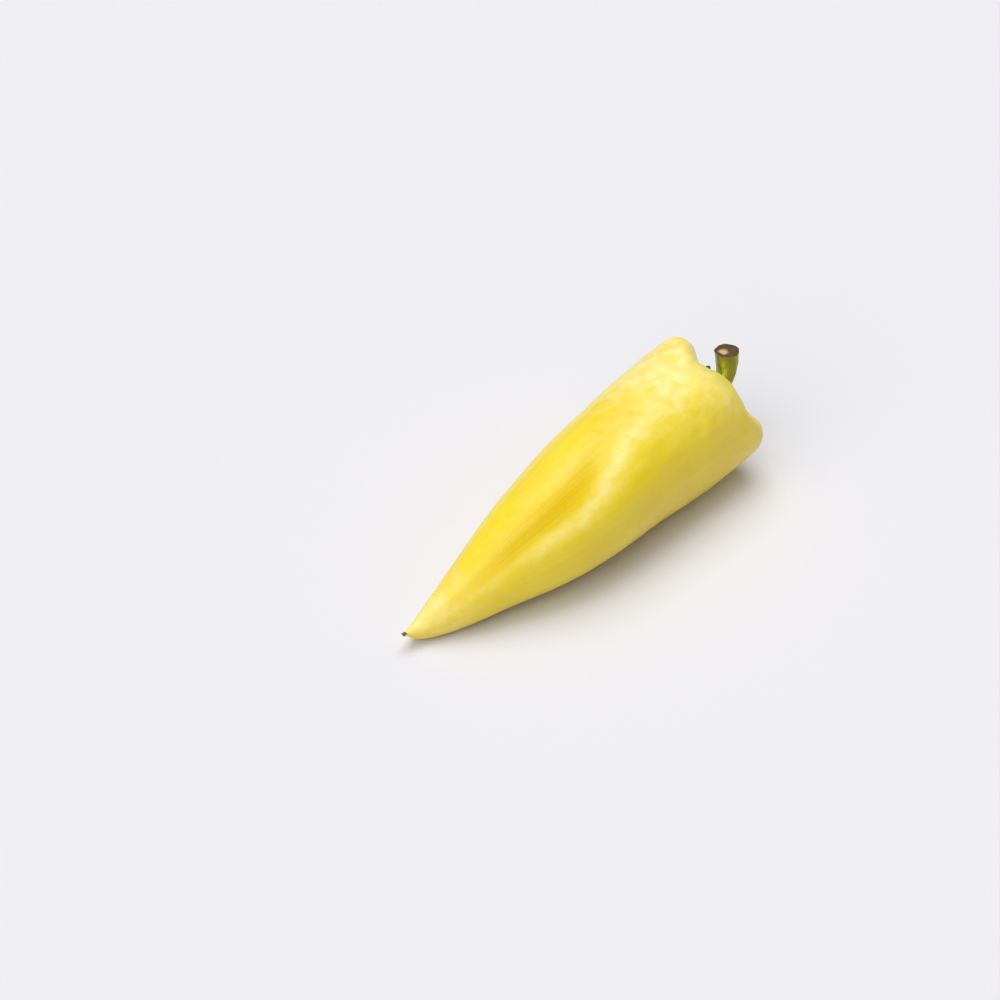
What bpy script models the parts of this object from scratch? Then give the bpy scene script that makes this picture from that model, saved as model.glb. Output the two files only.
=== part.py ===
"""A yellow chilli pepper as picked, lying on its side: fruit, calyx, cut stem and dried style.

Metres, +Z up.  The pepper is first grown along its own axis, with the crown at the origin, the stem
end towards +X and the blossom tip towards -X.  An empty then lays it down on its lowest three
points, so that it rests on z = 0 with the middle of its outline over the origin.

Stations along the axis are measured from the crown towards the tip.  Angles round the axis are in
degrees, from +Y towards +Z.
"""

from collections import namedtuple

import bmesh
import bpy
import numpy as np
from mathutils import Matrix, Vector
from mathutils.geometry import intersect_ray_tri

NAME = "chilli_pepper"

# ---- Driving dimensions, in metres -------------------------------------------------------------
FRUIT_LENGTH = 0.159        # crown to blossom tip
SHOULDER_RADIUS = 0.0258    # the widest part, just below the crown
TIP_RADIUS = 0.0056         # the blunt end before it closes
CALYX_RADIUS = 0.0105       # to the middle of a side of the calyx
CALYX_CORNER = 0.0012       # how much further its five corners reach
CALYX_EDGE = 0.0009         # thickness at the margin
CALYX_HUB = 0.0030          # rise of the hub that carries the stem
CAVITY_DEPTH = 0.0068       # the hollow in the crown, where the calyx sits
CAVITY_MARGIN = 0.0012      # bare floor around the calyx
CROWN_WIDTH = 0.0070        # from the edge of that floor to the crest of the crown
CROWN_SLANT = 0.0034        # how much the crown drops on its low side
CROWN_SADDLE = 0.0036       # how much it also drops on its low and high sides against its flanks
STEM_RADIUS = 0.0036        # in the middle of its run
STEM_FOOT = 1.22            # times as thick where it leaves the hub
STEM_FLARE = 1.20           # times as thick at the cut end
STEM_RUN = 0.0128           # straight out of the crown
STEM_RISE = 0.0100          # after it bends upwards
CUT_FACING = (0.10, 0.0, 0.995)   # the way the stem's cut end faces
STYLE_RADIUS = 0.0008       # the dried style at the blossom tip
STYLE_LENGTH = 0.0014
GAP = 0.0003                # left between pieces that touch
PRESS = 0.00025             # how far the skin gives where it rests

# ---- Outline of the skin -----------------------------------------------------------------------
# Share of the cavity's depth, share of its floor's radius.
HOLLOW = ((1, 0), (1, 0.5), (0.97, 0.85), (0.72, 1))
# Share of the cavity's depth, share of the crown's width beyond the floor.
CROWN = ((0.25, 0.22), (-0.16, 0.5), (-0.25, 1))
# Share of the length from the crown, share of the shoulder radius.
FLANK = ((0.014, 0.975), (0.057, 0.995), (0.127, 1.005), (0.228, 0.990), (0.342, 0.920),
         (0.456, 0.880), (0.570, 0.785), (0.671, 0.680), (0.772, 0.495), (0.861, 0.350))
# Share of the length from the crown, share of the tip radius.
TIP = ((0.930, 1.0), (0.978, 0.42), (0.998, 0.08), (1.0, 0.0))
# Share of the length, sideways and upwards offset of the axis in metres.
BEND = ((0.0, 0.0, 0.0), (0.19, -0.0012, 0.0003), (0.38, -0.0054, 0.0070), (0.57, -0.0084, 0.0090),
        (0.73, -0.0058, 0.0070), (0.855, -0.0040, 0.0040), (0.930, -0.0010, 0.0008),
        (0.975, 0.0004, 0.0006), (1.0, 0.0, 0.0044))
LOW_SIDE = 130              # the side on which the crown drops, in degrees
DROP_START = 0.35           # share of the way from the hollow's middle to the crest
FURROW_START = 0.4          # the same, where the furrows start
DROP_END = 0.22             # how far past the crest the flank still follows the crown's drop

# ---- The five furrows that part the lobes, and the two lobes that swell at the crown -----------
# A swell is a furrow turned outwards, so its notch and its depths are below zero.
Furrow = namedtuple("Furrow", "crown_angle tip_angle width notch depths")
TURN = (0.32, 0.64)         # stations between which a furrow swings to its angle at the tip
FURROWS = (
    Furrow(99, 128, 20, 0.0036, ((0, 0.075), (0.13, 0.035), (0.30, 0.035), (0.48, 0.08), (0.60, 0.11),
                                 (0.72, 0.11), (0.86, 0.03), (1, 0))),
    Furrow(168, 184, 20, 0.0010, ((0, 0.03), (0.16, 0.02), (0.44, 0.015), (0.7, 0), (1, 0))),
    Furrow(270, 264, 18, 0.0026, ((0, 0.13), (0.19, 0.14), (0.44, 0.12), (0.7, 0.09), (0.86, 0.03), (1, 0))),
    Furrow(345, 338, 22, 0.0024, ((0, 0.08), (0.16, 0.05), (0.44, 0.06), (0.7, 0.03), (1, 0))),
    Furrow(38, 45, 20, 0.0020, ((0, 0.06), (0.14, 0.02), (0.38, 0), (1, 0))),
)
SWELLS = (
    Furrow(55, 55, 25, -0.0025, ((0, -0.07), (0.13, -0.005), (0.3, 0), (1, 0))),
    Furrow(204, 204, 30, -0.0045, ((0, -0.055), (0.13, 0.01), (0.3, 0), (1, 0))),
)

# ---- Shapes of the calyx, the stem and the style -----------------------------------------------
CALYX_REACH = 0.8           # how near to the crest the hollow's floor counts as floor
CORNER_WIDTH = 16           # half the width of a calyx corner, in degrees
HUB_SLOPE = (0.9, 1.8)      # where the hub starts and stops falling, in radii of the stem's foot
# Shares of the stem's run, and then of its rise: outwards, sideways and upwards.
RUN_LINE = ((0, 0, 0), (0.30, 0, 0), (0.66, 0.02, 0.05), (0.95, 0.06, 0.18))
RISE_LINE = ((0.20, 0.10, 0.38), (0.28, 0.20, 0.88))
FOOT_END = 0.35             # share of the stem's length where its foot has narrowed
FLARE_START = 0.62          # share of the stem's length where it starts to widen
CUT_BACK = 0.35             # how far the cut is from the line's end, in stem radii
STYLE_AIM = 0.965           # the style points away from the middle of the ring here
STYLE_TAPER = 0.6           # its end against its foot

# ---- Mesh density ------------------------------------------------------------------------------
FRUIT_ROUND, FRUIT_RINGS = 56, 46
CALYX_ROUND, CALYX_RINGS = 40, 20
STEM_BEVEL = 4              # bevel resolution, which gives a stem of 12 sides
STEM_POINTS = 15
STYLE_ROUND = 12
CURVE_STEPS = 400           # steps in which a spline is looked up
OUTLINE_STEPS = 2000
SLOPE_STEP = 0.002          # half the step across which the skin's slopes are taken
SHARP_ANGLE = 50            # degrees past which an edge is shaded sharp
WELD = 0.00002              # distance within which the stem's end caps are joined to it
ON_PLANE = 1e-7             # distance within which a point lies on a cutting plane


def spline(points, where):
    """Uniform cubic B-spline of the points, which ends on the first and the last; where is 0 to 1."""
    points = np.asarray(points, float)
    padded = np.vstack([2 * points[0] - points[1], points, 2 * points[-1] - points[-2]])
    place = np.asarray(where, float) * (len(points) - 1)
    first = np.clip(place.astype(int), 0, len(points) - 2)
    f = (place - first)[..., None]
    weights = ((1 - f) ** 3, 3 * f ** 3 - 6 * f ** 2 + 4, -3 * f ** 3 + 3 * f ** 2 + 3 * f + 1, f ** 3)
    return sum(weight * padded[first + k] for k, weight in enumerate(weights)) / 6


def along(points, share):
    """The spline's other coordinates where its first one equals share."""
    table = spline(points, np.linspace(0, 1, CURVE_STEPS))
    columns = [np.interp(share, table[:, 0], table[:, k]) for k in range(1, table.shape[1])]
    return columns[0] if len(columns) == 1 else columns


def smooth(value, low, high):
    """0 below low and 1 above high, with a soft start and end."""
    q = np.clip((value - low) / (high - low), 0, 1)
    return q * q * q * (q * (6 * q - 15) + 10)


def outline():
    """Control points (station, radius) of the skin, from the middle of the hollow to the tip."""
    floor = CALYX_RADIUS + CALYX_CORNER + CAVITY_MARGIN
    hollow = [(share * CAVITY_DEPTH, radius * floor) for share, radius in HOLLOW]
    crown = [(share * CAVITY_DEPTH, floor + width * CROWN_WIDTH) for share, width in CROWN]
    flank = [(share * FRUIT_LENGTH, radius * SHOULDER_RADIUS) for share, radius in FLANK]
    tip = [(share * FRUIT_LENGTH, radius * TIP_RADIUS) for share, radius in TIP]
    return np.array(hollow + crown + flank + tip)


OUTLINE = outline()
PLACES = np.linspace(0, 1, OUTLINE_STEPS)
CREST = PLACES[np.argmin(spline(OUTLINE, PLACES)[:, 0])]    # where the outline is highest


def skin(where, angle):
    """Points of the skin: where runs along the outline from 0 to 1, angle round it in radians.

    Each furrow takes a share off the radius over the flank and lets the crown down by its notch.
    """
    station, radius = np.moveaxis(spline(OUTLINE, where), -1, 0)
    share = np.clip(station / FRUIT_LENGTH, 0, 1)
    cut = 0
    off_low = angle - np.radians(LOW_SIDE)
    drop = (CROWN_SLANT * (1 + np.cos(off_low)) + CROWN_SADDLE * (1 + np.cos(2 * off_low))) / 2
    for furrow in FURROWS + SWELLS:
        middle = np.radians(furrow.crown_angle + (furrow.tip_angle - furrow.crown_angle)
                            * smooth(share, *TURN))
        off = (angle - middle + np.pi) % (2 * np.pi) - np.pi
        valley = np.exp(-(off / np.radians(furrow.width)) ** 2)
        cut = cut + along(furrow.depths, share) * valley * smooth(where, FURROW_START * CREST, CREST)
        drop = drop + furrow.notch * valley
    crown = smooth(where, DROP_START * CREST, CREST) * (1 - smooth(where, CREST, CREST + DROP_END))
    station = station + drop * crown
    radius = radius * (1 - cut)
    side, rise = along(BEND, share)
    return np.stack(np.broadcast_arrays(-station, side + radius * np.cos(angle),
                                        rise + radius * np.sin(angle)), -1)


def stem_path():
    """Points along the stem's middle, from just above the hub to its cut end, and their radii."""
    start = CALYX_EDGE + CALYX_HUB + 2 * GAP - CAVITY_DEPTH
    run = np.array(RUN_LINE) * STEM_RUN
    rise = run[-1] + np.array(RISE_LINE) * STEM_RISE
    where = np.linspace(0, 1, STEM_POINTS)
    foot = (STEM_FOOT - 1) * (1 - smooth(where, 0, FOOT_END))
    flare = (STEM_FLARE - 1) * smooth(where, FLARE_START, 1)
    return spline(np.vstack([run, rise]) + (start, 0, 0), where), STEM_RADIUS * (1 + foot + flare)


def new_object(name, mesh, material, collection, parent):
    """Links a mesh as a named, smoothly shaded object that rides on the parent."""
    mesh.name = name
    mesh.materials.clear()
    mesh.materials.append(material)
    mesh.shade_smooth()
    mesh.set_sharp_from_angle(angle=np.radians(SHARP_ANGLE))
    piece = bpy.data.objects.new(name, mesh)
    piece.parent = parent
    collection.objects.link(piece)
    return piece


def finish(name, colour, roughness):
    """A Principled material without metal."""
    material = bpy.data.materials.new(name)
    material.use_nodes = True
    shader = material.node_tree.nodes["Principled BSDF"]
    shader.inputs["Base Color"].default_value = (*colour, 1)
    shader.inputs["Roughness"].default_value = roughness
    shader.inputs["Metallic"].default_value = 0
    return material


def remapped_sphere(name, around, rings, shape):
    """A closed mesh: a UV sphere whose points move to shape(ring, angle), pole 0 to pole `rings`.

    The sphere's Z becomes the pepper's X, its X the pepper's Y and its Y the pepper's Z, so the
    faces still point outwards.
    """
    bm = bmesh.new()
    bmesh.ops.create_uvsphere(bm, u_segments=around, v_segments=rings, radius=1)
    ball = np.array([vert.co for vert in bm.verts])
    ring = np.rint(np.arccos(np.clip(ball[:, 2], -1, 1)) / np.pi * rings).astype(int)
    points = shape(ring, np.arctan2(ball[:, 1], ball[:, 0]))
    for vert, point in zip(bm.verts, points):
        vert.co = point
    mesh = bpy.data.meshes.new(name)
    bm.to_mesh(mesh)
    bm.free()
    return mesh


def ring_places(count):
    """Places along the outline for count + 1 rings: half by length, half by the outline's points."""
    curve = spline(OUTLINE, PLACES)
    length = np.concatenate([[0], np.cumsum(np.hypot(*np.diff(curve, axis=0).T))])
    blend = 0.5 * length / length[-1] + 0.5 * PLACES
    return np.interp(np.linspace(0, 1, count + 1), blend, PLACES)


def fruit_mesh():
    """The whole skin, from the middle of the hollow round the crown and down to the tip."""
    places = ring_places(FRUIT_RINGS)
    return remapped_sphere("fruit", FRUIT_ROUND, FRUIT_RINGS,
                           lambda ring, angle: skin(places[ring], angle))


def skin_normal(where, angle):
    """The skin's outward direction, from the slopes along the outline and round it."""
    where = np.maximum(where, 2 * SLOPE_STEP)
    down = skin(where + SLOPE_STEP, angle) - skin(where - SLOPE_STEP, angle)
    around = skin(where, angle + SLOPE_STEP) - skin(where, angle - SLOPE_STEP)
    normal = np.cross(down, around)
    return normal / np.linalg.norm(normal, axis=-1, keepdims=True)


def calyx_points(ring, angle):
    """The calyx: it follows the hollow's floor a gap above it, with a hub in its middle.

    Its margin reaches further towards each furrow, and its thickness rounds off at the margin.
    """
    slope = np.pi * ring / CALYX_RINGS
    corner = sum(np.exp(-(((angle - np.radians(furrow.crown_angle) + np.pi) % (2 * np.pi) - np.pi)
                          / np.radians(CORNER_WIDTH)) ** 2) for furrow in FURROWS)
    reach = (CALYX_RADIUS + CALYX_CORNER * corner) * np.sin(slope)
    hollow = PLACES[PLACES < CALYX_REACH * CREST]
    where = np.interp(reach, spline(OUTLINE, hollow)[:, 1], hollow)
    upper = np.clip(np.cos(slope), 0, 1)[:, None]
    normal = skin_normal(where, angle)
    foot = STEM_FOOT * STEM_RADIUS
    hub = CALYX_HUB * (1 - smooth(reach, HUB_SLOPE[0] * foot, HUB_SLOPE[1] * foot))[:, None] * (upper > 0)
    return skin(where, angle) + normal * (GAP + CALYX_EDGE * upper ** 0.5) + hub * np.array([1, 0, 0])


def calyx_mesh():
    """The calyx as one closed body."""
    return remapped_sphere("calyx", CALYX_ROUND, CALYX_RINGS, calyx_points)


def stem_mesh():
    """The stem: a swept tube with filled ends, its outer end cut off level."""
    points, radii = stem_path()
    curve = bpy.data.curves.new("stem", "CURVE")
    curve.dimensions = "3D"
    curve.bevel_depth = 1
    curve.bevel_resolution = STEM_BEVEL
    curve.use_fill_caps = True
    line = curve.splines.new("POLY")
    line.points.add(len(points) - 1)
    for knot, point, radius in zip(line.points, points, radii):
        knot.co = (*point, 1)
        knot.radius = radius
    tube = bpy.data.objects.new("stem", curve)
    bpy.context.scene.collection.objects.link(tube)
    bpy.context.view_layer.update()
    mesh = bpy.data.meshes.new_from_object(tube.evaluated_get(bpy.context.evaluated_depsgraph_get()))
    bpy.data.objects.remove(tube)
    bpy.data.curves.remove(curve)
    bm = bmesh.new()
    bm.from_mesh(mesh)
    bmesh.ops.remove_doubles(bm, verts=bm.verts, dist=WELD)
    cut_off(bm, Vector(points[-1]) - Vector(CUT_FACING) * CUT_BACK * STEM_RADIUS, Vector(CUT_FACING))
    bm.to_mesh(mesh)
    bm.free()
    return mesh


def cut_off(bm, point, facing):
    """Takes away what lies beyond the plane through point and closes the cut."""
    cut = bmesh.ops.bisect_plane(bm, geom=bm.verts[:] + bm.edges[:] + bm.faces[:], dist=ON_PLANE,
                                 plane_co=point, plane_no=facing, clear_outer=True)
    edges = [item for item in cut["geom_cut"] if isinstance(item, bmesh.types.BMEdge)]
    bmesh.ops.holes_fill(bm, edges=edges, sides=0)
    bmesh.ops.recalc_face_normals(bm, faces=bm.faces)


def style_mesh():
    """The dried style: a short stub that stands on the blossom tip, in line with it."""
    apex = Vector(skin(np.array(1.0), np.array(0.0)))
    ring = skin(np.array(STYLE_AIM), np.linspace(0, 2 * np.pi, STYLE_ROUND, endpoint=False))
    outward = (apex - Vector(ring.mean(axis=0))).normalized()
    bm = bmesh.new()
    bmesh.ops.create_cone(bm, cap_ends=True, segments=STYLE_ROUND, radius1=STYLE_RADIUS,
                          radius2=STYLE_TAPER * STYLE_RADIUS, depth=STYLE_LENGTH)
    turn = outward.to_track_quat("Z", "Y").to_matrix().to_4x4()
    seat = Matrix.Translation(apex + outward * (GAP + STYLE_LENGTH / 2))
    bmesh.ops.transform(bm, matrix=seat @ turn, verts=bm.verts)
    mesh = bpy.data.meshes.new("style_tip")
    bm.to_mesh(mesh)
    bm.free()
    return mesh


def middle_of_volume(mesh):
    """The centre of the volume that a closed mesh holds."""
    mesh.calc_loop_triangles()
    corners = np.array([[mesh.vertices[i].co for i in tri.vertices] for tri in mesh.loop_triangles])
    volume = np.einsum("ij,ij->i", corners[:, 0], np.cross(corners[:, 1], corners[:, 2]))
    return Vector((volume[:, None] * corners.sum(axis=1) / 4).sum(axis=0) / volume.sum())


def resting_matrix(mesh):
    """Lays the mesh on the face of its hull that lies under its centre, pressed in by PRESS."""
    centre = middle_of_volume(mesh)
    bm = bmesh.new()
    for vertex in mesh.vertices:
        bm.verts.new(vertex.co)
    bmesh.ops.convex_hull(bm, input=bm.verts)
    down = []
    for face in bm.faces:
        normal = face.normal if face.normal.dot(face.calc_center_median() - centre) > 0 else -face.normal
        a, b, c = (corner.co for corner in face.verts[:3])
        if intersect_ray_tri(a, b, c, normal, centre, True):
            down.append((normal.z, normal.copy()))
    bm.free()
    turn = min(down)[1].rotation_difference(Vector((0, 0, -1))).to_matrix().to_4x4()
    lowest = min((turn @ vertex.co).z for vertex in mesh.vertices)
    return Matrix.Translation((0, 0, -lowest - PRESS)) @ turn


def press_flat(mesh, lay):
    """Takes off what would reach below the surface that the pepper rests on."""
    back = lay.inverted()
    bm = bmesh.new()
    bm.from_mesh(mesh)
    cut_off(bm, back.translation, back.to_3x3() @ Vector((0, 0, -1)))
    bm.to_mesh(mesh)
    bm.free()


def centre_on_origin(rest, pieces):
    """Moves the laid-down pepper so that the middle of its outline is over the origin."""
    corners = np.array([rest.matrix_world @ vertex.co for piece in pieces for vertex in piece.data.vertices])
    middle = (corners.min(axis=0) + corners.max(axis=0)) / 2
    rest.location.x -= middle[0]
    rest.location.y -= middle[1]


def main():
    """Clears the scene and builds the pepper."""
    for old in list(bpy.data.objects):
        bpy.data.objects.remove(old)
    collection = bpy.data.collections.new(NAME)
    bpy.context.scene.collection.children.link(collection)
    rest = bpy.data.objects.new("rest", None)
    collection.objects.link(rest)

    skin_finish = finish("yellow_skin", (0.78, 0.56, 0.055), 0.28)
    green = finish("green_calyx", (0.17, 0.19, 0.015), 0.55)
    stalk = finish("green_stem", (0.27, 0.31, 0.03), 0.5)
    dried = finish("dried_style", (0.05, 0.045, 0.015), 0.8)

    fruit = fruit_mesh()
    lay = resting_matrix(fruit)
    press_flat(fruit, lay)
    rest.matrix_world = lay
    pieces = [new_object("fruit", fruit, skin_finish, collection, rest),
              new_object("calyx", calyx_mesh(), green, collection, rest),
              new_object("stem", stem_mesh(), stalk, collection, rest),
              new_object("style_tip", style_mesh(), dried, collection, rest)]
    bpy.context.view_layer.update()
    centre_on_origin(rest, pieces)
    bpy.context.view_layer.update()


if __name__ == "__main__":
    main()
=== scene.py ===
"""The looks of a yellow chilli pepper that lies on its side: skin, calyx, cut stem and dried style.

The pepper is first grown along its own axis, with its crown at the origin, its stem end towards +X
and its tip towards -X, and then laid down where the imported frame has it.  A place on its skin is
given by `where`, which runs from 0 in the middle of the crown's hollow to 1 at the tip, and by an
angle round the axis, from +Y towards +Z.  `share` is how far a place lies from the crown, as a part of
the fruit's length.  Lengths are metres, fields that hold an angle are in degrees, and angles that are
handed from one function to another are in radians.
"""

import logging
from dataclasses import dataclass, field
from enum import Enum
from functools import partial
from typing import Any

import bpy
import numpy as np
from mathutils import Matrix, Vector


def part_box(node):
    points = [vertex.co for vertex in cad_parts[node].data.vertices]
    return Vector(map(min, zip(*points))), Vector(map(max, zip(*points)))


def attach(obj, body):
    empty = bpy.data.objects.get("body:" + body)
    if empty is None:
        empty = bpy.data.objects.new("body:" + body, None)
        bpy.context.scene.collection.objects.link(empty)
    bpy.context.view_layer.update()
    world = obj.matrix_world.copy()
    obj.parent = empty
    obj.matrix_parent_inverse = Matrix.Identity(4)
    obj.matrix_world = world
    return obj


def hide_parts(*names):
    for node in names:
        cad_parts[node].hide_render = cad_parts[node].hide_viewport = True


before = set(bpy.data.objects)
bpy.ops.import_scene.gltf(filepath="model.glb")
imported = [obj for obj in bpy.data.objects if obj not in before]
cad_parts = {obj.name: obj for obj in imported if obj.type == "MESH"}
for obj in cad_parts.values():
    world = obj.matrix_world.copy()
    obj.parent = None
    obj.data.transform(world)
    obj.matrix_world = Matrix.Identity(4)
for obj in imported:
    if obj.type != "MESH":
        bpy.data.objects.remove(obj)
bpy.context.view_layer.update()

TURN = 2 * np.pi
MM = 0.001

log = logging.getLogger("pepper")


class Slot(Enum):
    """The record's material slots."""

    SKIN = "skin"
    CALYX = "calyx"
    STEM = "stem"
    STYLE = "dried_style"


# ---- Curves and unevenness ---------------------------------------------------------------------


def spline(points: Any, where: Any) -> np.ndarray:
    """Uniform cubic B-spline: each stretch mixes four neighbouring points with the cubic weights.

    Args:
        points: Control points, one row each; the curve ends on the first and the last.
        where: Places along the curve, 0 to 1.

    Returns:
        One point for each place.
    """
    points = np.asarray(points, float)
    padded = np.vstack([2 * points[0] - points[1], points, 2 * points[-1] - points[-2]])
    place = np.asarray(where, float) * (len(points) - 1)
    first = np.clip(place.astype(int), 0, len(points) - 2)
    f = (place - first)[..., None]
    weights = ((1 - f) ** 3, 3 * f ** 3 - 6 * f ** 2 + 4, -3 * f ** 3 + 3 * f ** 2 + 3 * f + 1, f ** 3)
    return sum(weight * padded[first + k] for k, weight in enumerate(weights)) / 6


def along(points: Any, share: np.ndarray) -> list[np.ndarray]:
    """The other coordinates of a spline where its first coordinate equals share.

    Args:
        points: Control points whose first coordinate grows.
        share: Values of that coordinate.

    Returns:
        One array for each further coordinate.
    """
    table = spline(points, np.linspace(0, 1, 400))
    return [np.interp(share, table[:, 0], column) for column in table.T[1:]]


def smooth(value: Any, low: float, high: float) -> np.ndarray:
    """Quintic step: 0 below low, 1 above high, 6q^5 - 15q^4 + 10q^3 between them.

    Args:
        value: Where to look.
        low: Where the step starts.
        high: Where it ends.

    Returns:
        The step's height at each value.
    """
    q = np.clip((np.asarray(value, float) - low) / (high - low), 0, 1)
    return q ** 3 * (q * (6 * q - 15) + 10)


def apart(angle: Any, middle: Any) -> np.ndarray:
    """The signed angle from middle to angle, the short way round, in radians."""
    return (angle - middle + np.pi) % TURN - np.pi


def bell(angle: Any, middle: Any, width: float) -> np.ndarray:
    """exp(-(angle from the middle / width)^2), with the width in degrees."""
    return np.exp(-(apart(angle, middle) / np.radians(width)) ** 2)


@dataclass(frozen=True)
class Unevenness:
    """Smooth, seeded bumps and dips: the sum of plane waves that run in many directions.

    Wavelengths are drawn between shortest and longest, and stretch draws them out along X.
    """

    height: float
    shortest: float
    longest: float
    stretch: float = 1.0
    seed: int = 1
    waves: int = 40

    def at(self, points: np.ndarray) -> np.ndarray:
        """Height = spread x sum of cos(direction . point x turn / wavelength + phase).

        Args:
            points: Where to look, three coordinates each; X is squeezed by the stretch.

        Returns:
            The height at each point, with `height` as its spread.
        """
        rng = np.random.default_rng(self.seed)
        ways = rng.normal(size=(self.waves, 3))
        ways /= np.linalg.norm(ways, axis=1, keepdims=True)
        lengths = np.exp(rng.uniform(np.log(self.shortest), np.log(self.longest), self.waves))
        phases = rng.uniform(0, TURN, self.waves)
        squeezed = points * np.array([1 / self.stretch, 1, 1])
        total = np.zeros(points.shape[:-1])
        for way, length, phase in zip(ways, lengths, phases):
            total += np.cos(squeezed @ way * (TURN / length) + phase)
        return self.height * total * np.sqrt(2 / self.waves)


# ---- Closed bodies from rings ------------------------------------------------------------------


@dataclass
class Rings:
    """A closed surface: rings of points from one pole to the other, with masks and a flat map.

    points is (rings, around, 3), and its first and last ring are single points.  Each mask is
    (rings, around).  The map runs once round in u and from pole to pole in v.
    """

    points: np.ndarray
    masks: dict[str, np.ndarray] = field(default_factory=dict)
    map_v: np.ndarray | None = None

    def normals(self) -> np.ndarray:
        """Unit cross product of the slopes from ring to ring and round each ring.

        Returns:
            A direction off the surface for each point; a pole has the mean of its neighbours'.
        """
        down = np.gradient(self.points, axis=0)
        around = np.roll(self.points, -1, axis=1) - np.roll(self.points, 1, axis=1)
        cross = np.cross(down, around)
        length = np.linalg.norm(cross, axis=-1, keepdims=True)
        unit = cross / np.maximum(length, 1e-15)
        for pole, beside in ((0, 1), (-1, -2)):
            mean = unit[beside].mean(axis=0)
            unit[pole] = mean / np.linalg.norm(mean)
        return unit

    def _flat(self, grid: np.ndarray) -> np.ndarray:
        """The grid as one row for each vertex: a pole, the rings between, the other pole."""
        return np.concatenate([grid[:1, 0], grid[1:-1].reshape(-1, *grid.shape[2:]), grid[-1:, 0]])

    def _corners(self) -> tuple[np.ndarray, np.ndarray]:
        """Ring and column numbers of the corners of the four-sided and the three-sided faces.

        Returns:
            Two arrays of (faces, corners, 2), the four-sided faces first.
        """
        rings, around = self.points.shape[:2]
        i, j = np.meshgrid(np.arange(1, rings - 2), np.arange(around), indexing="ij")
        i, j = i.ravel(), j.ravel()
        quads = np.stack([np.stack(c, -1) for c in ((i, j), (i + 1, j), (i + 1, j + 1), (i, j + 1))], 1)
        k = np.arange(around)
        one, last = np.ones_like(k), np.full_like(k, rings - 1)
        top = np.stack([np.stack(c, -1) for c in ((0 * k, k), (one, k), (one, k + 1))], 1)
        bottom = np.stack([np.stack(c, -1) for c in ((last - 1, k + 1), (last - 1, k), (last, k))], 1)
        return quads, np.concatenate([top, bottom])

    def mesh(self, name: str) -> bpy.types.Mesh:
        """Makes the mesh, with its faces outwards, its masks as attributes and its map as UVs.

        Args:
            name: The mesh's name.

        Returns:
            The new mesh, shaded smooth.
        """
        rings, around = self.points.shape[:2]
        vertices = self._flat(self.points)
        corners = self._corners()
        first = np.array([0] + [1 + (ring - 1) * around for ring in range(1, rings)])
        index = []
        for ring, column in (np.moveaxis(table, -1, 0) for table in corners):
            between = (ring > 0) & (ring < rings - 1)
            index.append(first[ring] + np.where(between, column % around, 0))
        a, b, c = (vertices[index[0][:, k]] for k in range(3))
        if np.einsum("ij,ij->", a, np.cross(b, c)) < 0:
            index = [table[:, ::-1] for table in index]
            corners = tuple(table[:, ::-1] for table in corners)
        mesh = bpy.data.meshes.new(name)
        mesh.from_pydata(vertices.tolist(), [], index[0].tolist() + index[1].tolist())
        for mask, grid in self.masks.items():
            layer = mesh.attributes.new(mask, "FLOAT", "POINT")
            layer.data.foreach_set("value", self._flat(grid).astype(np.float32))
        map_v = np.linspace(0, 1, rings) if self.map_v is None else self.map_v
        flat = np.concatenate([table.reshape(-1, 2) for table in corners])
        uv = np.stack([flat[:, 1] / around, map_v[flat[:, 0]]], -1)
        mesh.uv_layers.new(name="flat").data.foreach_set("uv", uv.astype(np.float32).ravel())
        mesh.shade_smooth()
        mesh.validate()
        return mesh


def piece(mesh: bpy.types.Mesh, material: bpy.types.Material, node: str) -> bpy.types.Object:
    """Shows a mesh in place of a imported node.

    Args:
        mesh: The finished mesh, in place.
        material: Its only material.
        node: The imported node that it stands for.

    Returns:
        The new object.
    """
    mesh.materials.append(material)
    thing = bpy.data.objects.new(mesh.name, mesh)
    bpy.context.scene.collection.objects.link(thing)
    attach(thing, "root")
    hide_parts(node)
    log.info("%s: %d vertices, %d faces", thing.name, len(mesh.vertices), len(mesh.polygons))
    return thing


# ---- Node trees --------------------------------------------------------------------------------


def linear(red: int, green: int, blue: int) -> tuple[float, float, float, float]:
    """A display colour as the linear colour that a shader takes.

    Args:
        red: Its red, 0 to 255.
        green: Its green.
        blue: Its blue.

    Returns:
        Red, green, blue and full opacity, 0 to 1.
    """
    share = np.array([red, green, blue]) / 255
    values = np.where(share <= 0.04045, share / 12.92, ((share + 0.055) / 1.055) ** 2.4)
    return (*(float(value) for value in values), 1.0)


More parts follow.
